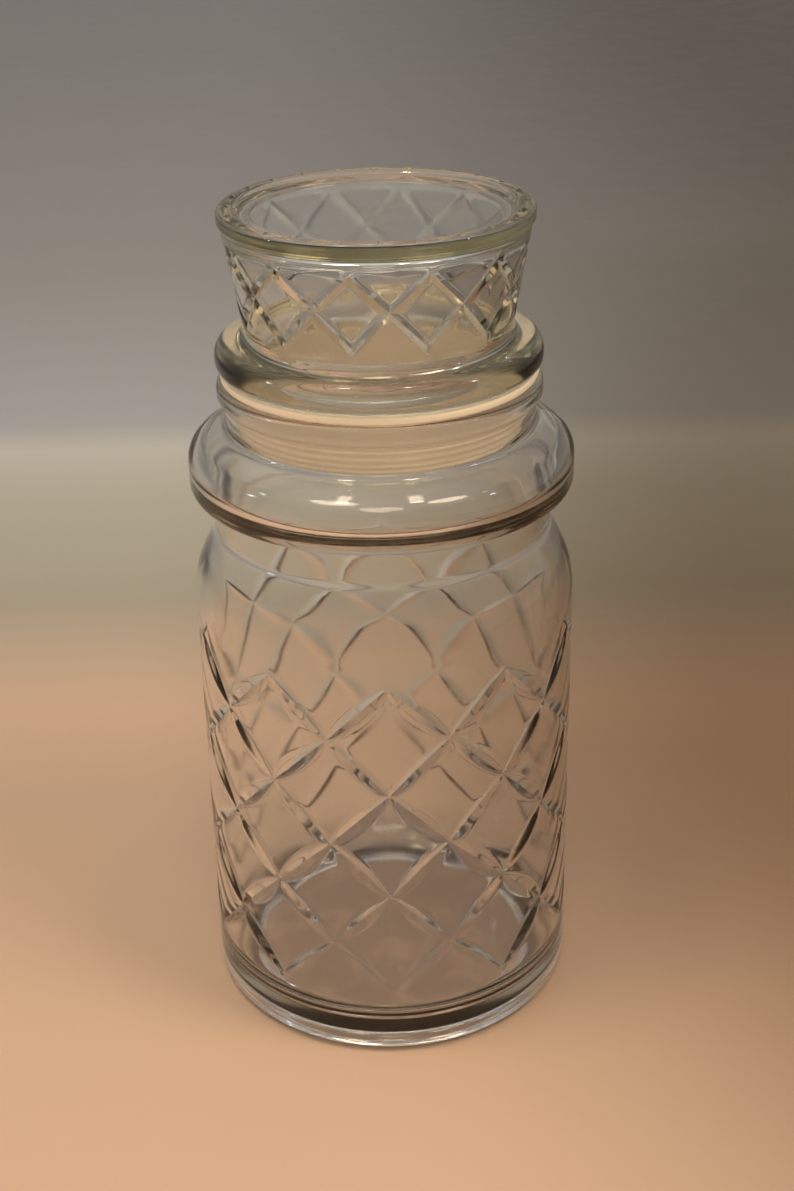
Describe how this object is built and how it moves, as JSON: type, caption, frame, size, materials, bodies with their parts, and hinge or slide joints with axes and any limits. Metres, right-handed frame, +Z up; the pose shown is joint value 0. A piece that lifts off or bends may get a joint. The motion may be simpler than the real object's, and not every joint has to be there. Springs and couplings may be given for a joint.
{
  "type": "lidded glass canister",
  "caption": "Round glass storage canister with a diamond pattern, a bulged shoulder, and a hollow glass stopper lid on a ribbed plastic seal.",
  "frame": {"origin": "middle of the base, on the surface that the canister stands on", "axes": "+Z up along the canister's axis; the front of the diamond pattern faces -Y"},
  "size_m": [0.1128, 0.1128, 0.2476],
  "materials": {
    "jar_glass": "clear moulded glass with a faint grey-green tint and soft flow marks",
    "seal_plastic": "milky translucent soft plastic, satin, with fine ribs",
    "lid_glass": "clear pressed glass with a faint olive tint in the thick rim"
  },
  "bodies": {
    "jar": {"jar": "jar_glass"},
    "seal": {"seal_ring": "seal_plastic"},
    "lid": {"lid": "lid_glass"}
  },
  "joints": [
    {"name": "stopper_lift", "type": "slide", "parent": "jar", "child": "seal", "axis": [0, 0, 1], "range_m": [0, 0.04]},
    {"name": "lid_pull", "type": "slide", "parent": "seal", "child": "lid", "axis": [0, 0, 1], "range_m": [0, 0.035]}
  ]
}
